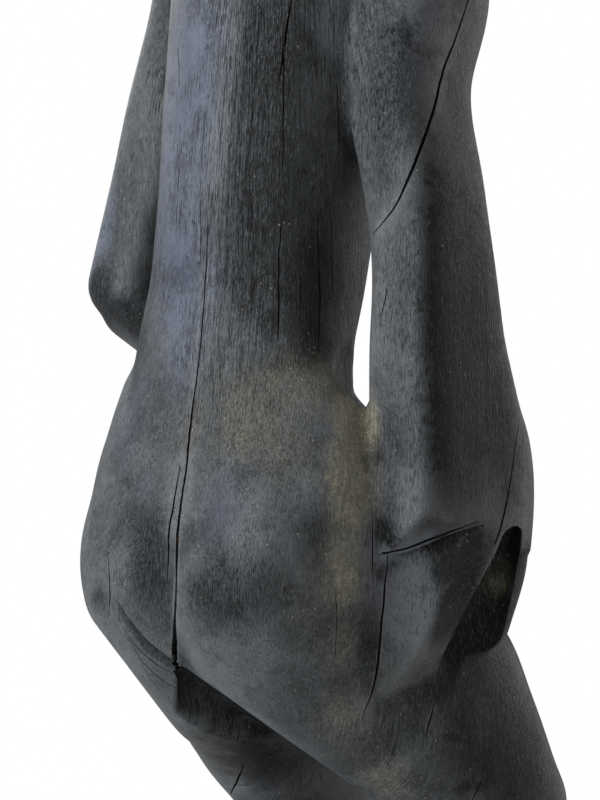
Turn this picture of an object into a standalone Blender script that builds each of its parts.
"""Carved ironwood ancestor figure, standing on bent knees on a low base cut from the same log.

All sizes are in metres. The figure faces -Y, its right side is -X, and its base stands on Z = 0. The body is laid
out in carver's points: 485 points make the height of the figure above its base, so that every limb is a share of
that height. A limb is a loft through a few stations. The limbs are fused into one log by a voxel remesh and dressed
by smoothing, and the deep hollows are then cut from it.
"""

import math

import bmesh
import bpy
import numpy as np
from mathutils import Vector

# Driving sizes
FIGURE_HEIGHT = 0.485  # from the top of the base to the crown
BASE_THICKNESS = 0.030
BASE_WIDTH = 0.144
BASE_DEPTH = 0.138

# Fineness of the carving
FUSE_VOXEL = 0.0020
SMOOTH_PASSES = 5
FACE_TARGET = 9200
FUSED_FACES = 146000  # triangles left by the remesh

WOOD_COLOUR = (0.048, 0.050, 0.056, 1)
WOOD_ROUGHNESS = 0.5

# Body grid
POINTS_TALL = 485
POINT = FIGURE_HEIGHT / POINTS_TALL
AXIS_FRONT = 16  # the log's axis lies this many points in front of the spine line

RIGHT, LEFT = -1, 1

# Smoothness of a loft
RINGS_PER_SPAN = 5
RING_POINTS = 44
DOME_RINGS = 4

# Stations of the limbs, in points: side, front, up, half width, half depth and squareness of the section. Side is
# out from the middle, front is forward of the spine line and up is above the base.
TRUNK = [
    (0, -12, 196, 36, 27, 2.3),
    (0, -12, 222, 39, 23, 2.6),
    (0, -12, 238, 39.5, 21.5, 2.6),
    (0, -9.5, 250, 38, 22.5, 2.6),
    (0, -6, 262, 37, 24, 2.6),
    (0, -1, 289, 36.5, 27, 2.6),
    (0, 4, 320, 38.5, 28.5, 2.6),
    (0, 10, 351, 41, 30, 2.6),
    (0, 13, 366, 44, 27, 2.5),
    (0, 14, 380, 38, 22, 2.4),
    (0, 13, 388, 26, 17, 2.2),
]
PELVIS = [
    (0, -12, 150, 19, 15, 2.2),
    (0, -8, 163, 46, 29, 2.4),
    (0, -11, 178, 53.5, 30, 2.7),
    (0, -12, 196, 54.5, 28, 2.8),
    (0, -12, 214, 52, 26, 2.6),
    (0, -13, 223, 49, 24, 2.4),
    (0, -14, 230, 45, 21, 2.3),
]
BELLY = ((0, 2, 218), (33, 17, 44))
CHEST = ((17, 31, 352), (17, 10, 14))
SHOULDER_YOKE = [
    (-45, 18, 366, 14, 18, 2.2),
    (-28, 14, 377, 14, 20, 2.2),
    (0, 12, 384, 14, 19, 2.2),
    (28, 14, 377, 14, 20, 2.2),
    (45, 18, 366, 14, 18, 2.2),
]
THIGH = [
    (23, -12, 200, 26, 26, 2.2),
    (25, -13, 190, 29, 30, 2.2),
    (25, -13, 178, 30, 33, 2.2),
    (19, -12, 166.5, 31.5, 33.5, 2.2),
    (23.5, 6.5, 146.5, 27, 29, 2.2),
    (29.5, 28.5, 138.5, 28.5, 33, 2.3),
    (35, 44, 120, 26.2, 29, 2.4),
    (41.3, 57.5, 99, 22.8, 22.5, 2.4),
]
SHIN = [
    (41, 56, 100, 21, 22, 2.3),
    (40, 50, 82, 18, 21, 2.3),
    (39, 39, 58, 18, 21, 2.3),
    (38, 28, 34, 14.5, 16, 2.3),
    (38, 21, 12, 13, 15, 2.3),
]
FOOT = [
    (37, 9, 6, 11, 9, 2.4),
    (38, 26, 7, 13, 10, 2.6),
    (39, 46, 4.5, 15, 8, 2.8),
    (40, 63, 2.5, 15.5, 6, 2.8),
]
UPPER_ARM = [
    (39, 18, 370, 20, 22, 2.3),
    (40, 20.8, 351, 22, 23, 2.4),
    (48.8, 10.4, 320, 16.5, 18.5, 2.6),
    (58, 8, 289, 14.5, 17.5, 2.8),
    (63, 6, 266, 14, 18.5, 2.9),
]
RIGHT_FOREARM = [
    (63, 8, 244, 14, 20.5, 3.4),
    (62, 14.5, 214, 16, 26, 3.4),
    (61, 18, 188, 16, 25, 3.4),
]
LEFT_FOREARM = [
    (62, 5, 264, 13, 17, 2.8),
    (48, 15, 247, 13.5, 15.5, 2.6),
    (28, 24, 226, 12, 12, 2.6),
]
LEFT_HAND = [
    (28, 23, 226, 13, 9, 2.8),
    (16, 22, 213, 15, 8, 3.0),
    (2, 20, 200, 13, 6, 3.0),
]
RIGHT_FINGERS = [
    (59.5, 31.5, 196, 12, 14, 2.6),
    (59, 32.5, 178, 12, 13, 2.6),
    (57, 31, 160, 10, 11, 2.4),
]
RIGHT_INDEX = [
    (66, 27, 186, 8, 8, 3.0),
    (63, 19, 166, 6.5, 7, 2.8),
    (58, 10, 146, 4, 5, 2.4),
]
RIGHT_THUMB = [
    (60, 12, 194, 12.5, 14, 3.4),
    (57, 6, 172, 10.5, 11.5, 3.2),
    (51, -2, 148, 6.5, 7, 2.8),
]
NECK = [
    (0, 11, 374, 24, 20, 2.2),
    (0, 13, 390, 18, 18, 2.2),
    (0, 15, 410, 18, 19, 2.2),
]
SKULL = [
    (0, 29, 401, 17, 19, 2.6),
    (0, 25, 415, 25, 27, 2.7),
    (0, 19, 436, 30, 35, 2.6),
    (0, 17, 456, 29, 34, 2.4),
]
NOSE = [
    (0, 50, 452, 4, 6, 3.0),
    (0, 53.5, 440, 4.8, 6, 3.0),
    (0, 56.5, 427, 7.6, 7, 2.6),
]
BROW = [
    (0, 51.5, 454, 3.2, 4.4, 2.4),
    (13, 48, 456, 3.8, 5, 2.4),
    (25, 37, 451, 3.2, 4.4, 2.4),
]
MOUTH = [
    (-11, 46, 411.5, 2.4, 3.4, 2.2),
    (0, 49, 412, 4, 4.6, 2.2),
    (11, 46, 411.5, 2.4, 3.4, 2.2),
]
EYE = ((13, 48.5, 440), (7.5, 6.2, 4.4))
EAR = [
    (30, 12, 449, 3, 4, 2.4),
    (33, 7, 444, 3, 4, 2.4),
    (33.5, 6, 434, 3, 4, 2.4),
    (31.5, 11, 424, 3.6, 4.4, 2.4),
]

# Hollows: side, front and up of the middle, and the radii along the same three
HAND_HOLLOW = ((68, 30, 177), (10, 6.5, 13))
CLEFT = ((0.5, -48, 174), (2, 11, 50))


def place(side, front, up):
    """A point of the body, given in points, as a place in the model."""
    return Vector((side * POINT, (AXIS_FRONT - front) * POINT, BASE_THICKNESS + up * POINT))


def smooth_rows(rows, per_span):
    """Catmull-Rom curve through rows of numbers, sampled per_span times between two rows."""
    rows = np.array(rows, float)
    ends = np.vstack([2 * rows[0] - rows[1], rows, 2 * rows[-1] - rows[-2]])
    made = []
    for i in range(1, len(ends) - 2):
        p0, p1, p2, p3 = ends[i - 1 : i + 3]
        for k in range(per_span):
            t = k / per_span
            made.append(
                0.5
                * (
                    2 * p1
                    + (p2 - p0) * t
                    + (2 * p0 - 5 * p1 + 4 * p2 - p3) * t**2
                    + (3 * p1 - p0 - 3 * p2 + p3) * t**3
                )
            )
    made.append(ends[-2])
    return np.array(made)


def to_object(name, mesh, collection=None):
    data = bpy.data.meshes.new(name)
    mesh.to_mesh(data)
    mesh.free()
    made = bpy.data.objects.new(name, data)
    (collection or bpy.context.scene.collection).objects.link(made)
    return made


def loft(name, stations, side=LEFT, domes=(1, 1), width_axis=(1, 0, 0)):
    """A closed solid through stations, each end domed by a share of its smaller radius."""
    rows = smooth_rows(stations, RINGS_PER_SPAN)
    centres = [place(side * row[0], row[1], row[2]) for row in rows]
    mesh = bmesh.new()
    rings = []

    def tangent(i):
        return (centres[min(i + 1, len(centres) - 1)] - centres[max(i - 1, 0)]).normalized()

    def reach(i):
        return min(rows[i][3], rows[i][4]) * POINT

    def add_ring(i, outward, lift):
        """One ring at station i, shrunk and pushed outward by the lift angle of a dome."""
        along = tangent(i)
        width = Vector(width_axis)
        width = (width - along * width.dot(along)).normalized()
        depth = along.cross(width)
        half_width, half_depth = rows[i][3] * POINT, rows[i][4] * POINT
        power = 2 / rows[i][5]
        ring = []
        for k in range(RING_POINTS):
            turn = math.tau * k / RING_POINTS
            x = math.copysign(abs(math.cos(turn)) ** power, math.cos(turn)) * half_width
            y = math.copysign(abs(math.sin(turn)) ** power, math.sin(turn)) * half_depth
            point = centres[i] + outward * math.sin(lift) + (width * x + depth * y) * math.cos(lift)
            ring.append(mesh.verts.new(point))
        rings.append(ring)

    last = len(rows) - 1
    step = math.radians(90) / DOME_RINGS
    start = -tangent(0) * reach(0) * domes[0]
    end = tangent(last) * reach(last) * domes[1]
    for k in range(DOME_RINGS - 1, 0, -1):
        add_ring(0, start, k * step)
    for i in range(last + 1):
        add_ring(i, Vector(), 0)
    for k in range(1, DOME_RINGS):
        add_ring(last, end, k * step)
    for low, high in zip(rings, rings[1:]):
        for k in range(RING_POINTS):
            after = (k + 1) % RING_POINTS
            mesh.faces.new((low[k], low[after], high[after], high[k]))
    for ring, pole in ((rings[0], centres[0] + start), (rings[-1], centres[last] + end)):
        tip = mesh.verts.new(pole)
        for k in range(RING_POINTS):
            mesh.faces.new((ring[k], ring[(k + 1) % RING_POINTS], tip))
    bmesh.ops.recalc_face_normals(mesh, faces=mesh.faces)
    return to_object(name, mesh)


def egg(name, middle, radii, side=LEFT, collection=None):
    """An ellipsoid at a place of the body."""
    mesh = bmesh.new()
    bmesh.ops.create_uvsphere(mesh, u_segments=32, v_segments=20, radius=POINT)
    bmesh.ops.scale(mesh, vec=radii, verts=mesh.verts)
    bmesh.ops.translate(mesh, vec=place(side * middle[0], middle[1], middle[2]), verts=mesh.verts)
    return to_object(name, mesh, collection)


def slab(name, width, depth, low, high, collection=None):
    """An upright oval slab round the log's axis."""
    mesh = bmesh.new()
    bmesh.ops.create_cone(
        mesh, cap_ends=True, segments=72, radius1=0.5, radius2=0.48, depth=high - low
    )
    bmesh.ops.scale(mesh, vec=(width, depth, 1), verts=mesh.verts)
    bmesh.ops.translate(mesh, vec=(0, 0, (low + high) / 2), verts=mesh.verts)
    return to_object(name, mesh, collection)


def body_pieces():
    """Every limb of the figure and its base, as overlapping closed solids."""
    up_axis = (0, 0, 1)
    pieces = [
        loft("trunk", TRUNK),
        loft("pelvis", PELVIS, domes=(1, 0.7)),
        egg("belly", *BELLY),
        loft("shoulder_yoke", SHOULDER_YOKE, width_axis=up_axis),
        loft("neck", NECK),
        loft("skull", SKULL),
        loft("nose", NOSE, domes=(0.5, 0.5)),
        loft("mouth", MOUTH, width_axis=up_axis),
        loft("right_arm", UPPER_ARM + RIGHT_FOREARM, RIGHT, domes=(1, 0.25)),
        loft("right_fingers", RIGHT_FINGERS, RIGHT),
        loft("right_index", RIGHT_INDEX, RIGHT),
        loft("right_thumb", RIGHT_THUMB, RIGHT),
        loft("left_arm", UPPER_ARM, LEFT),
        loft("left_forearm", LEFT_FOREARM, LEFT),
        loft("left_hand", LEFT_HAND, LEFT, domes=(1, 0.7)),
        slab("base", BASE_WIDTH, BASE_DEPTH, -0.004, BASE_THICKNESS),
    ]
    for side in (RIGHT, LEFT):
        pieces += [
            egg("chest", *CHEST, side),
            loft("thigh", THIGH, side),
            loft("shin", SHIN, side),
            loft("foot", FOOT, side),
            loft("brow", BROW, side, width_axis=up_axis),
            egg("eye", *EYE, side),
            loft("ear", EAR, side),
        ]
    return pieces


def fuse(pieces, name, collection):
    """Joins the pieces into one object, melted into one solid by a remesh and dressed by smoothing."""
    joined = bmesh.new()
    for piece in pieces:
        joined.from_mesh(piece.data)
        bpy.data.objects.remove(piece)
    figure = to_object(name, joined, collection)
    remesh = figure.modifiers.new("fuse", "REMESH")
    remesh.mode = "VOXEL"
    remesh.voxel_size = FUSE_VOXEL
    remesh.use_smooth_shade = True
    dress = figure.modifiers.new("dress", "SMOOTH")
    dress.factor = 0.5
    dress.iterations = SMOOTH_PASSES
    return figure


def block(name, low, high, collection):
    """A box between two corners, in metres."""
    mesh = bmesh.new()
    bmesh.ops.create_cube(mesh, size=1)
    low, high = Vector(low), Vector(high)
    bmesh.ops.scale(mesh, vec=high - low, verts=mesh.verts)
    bmesh.ops.translate(mesh, vec=(low + high) / 2, verts=mesh.verts)
    return to_object(name, mesh, collection)


def cut(figure, cutter):
    carve = figure.modifiers.new(cutter.name, "BOOLEAN")
    carve.operation = "DIFFERENCE"
    carve.solver = "EXACT"
    carve.object = cutter
    cutter.hide_render = True
    cutter.display_type = "WIRE"


def ironwood():
    """Dense charcoal-grey heartwood with a dull sheen."""
    wood = bpy.data.materials.new("ironwood")
    wood.use_nodes = True
    shader = wood.node_tree.nodes["Principled BSDF"]
    shader.inputs["Base Color"].default_value = WOOD_COLOUR
    shader.inputs["Roughness"].default_value = WOOD_ROUGHNESS
    shader.inputs["Metallic"].default_value = 0
    return wood


def new_collection(name):
    made = bpy.data.collections.new(name)
    bpy.context.scene.collection.children.link(made)
    return made


def main():
    for old in list(bpy.data.objects):
        bpy.data.objects.remove(old)
    carving = new_collection("ironwood_statue")
    cutters = new_collection("cutters")

    figure = fuse(body_pieces(), "ironwood_figure", carving)
    cut(figure, egg("hand_hollow", *HAND_HOLLOW, RIGHT, cutters))
    cut(figure, egg("cleft", *CLEFT, LEFT, cutters))
    thin = figure.modifiers.new("thin", "DECIMATE")
    thin.ratio = FACE_TARGET / FUSED_FACES
    cut(figure, block("ground", (-1, -1, -1), (1, 1, 0), cutters))
    figure.data.materials.append(ironwood())


main()
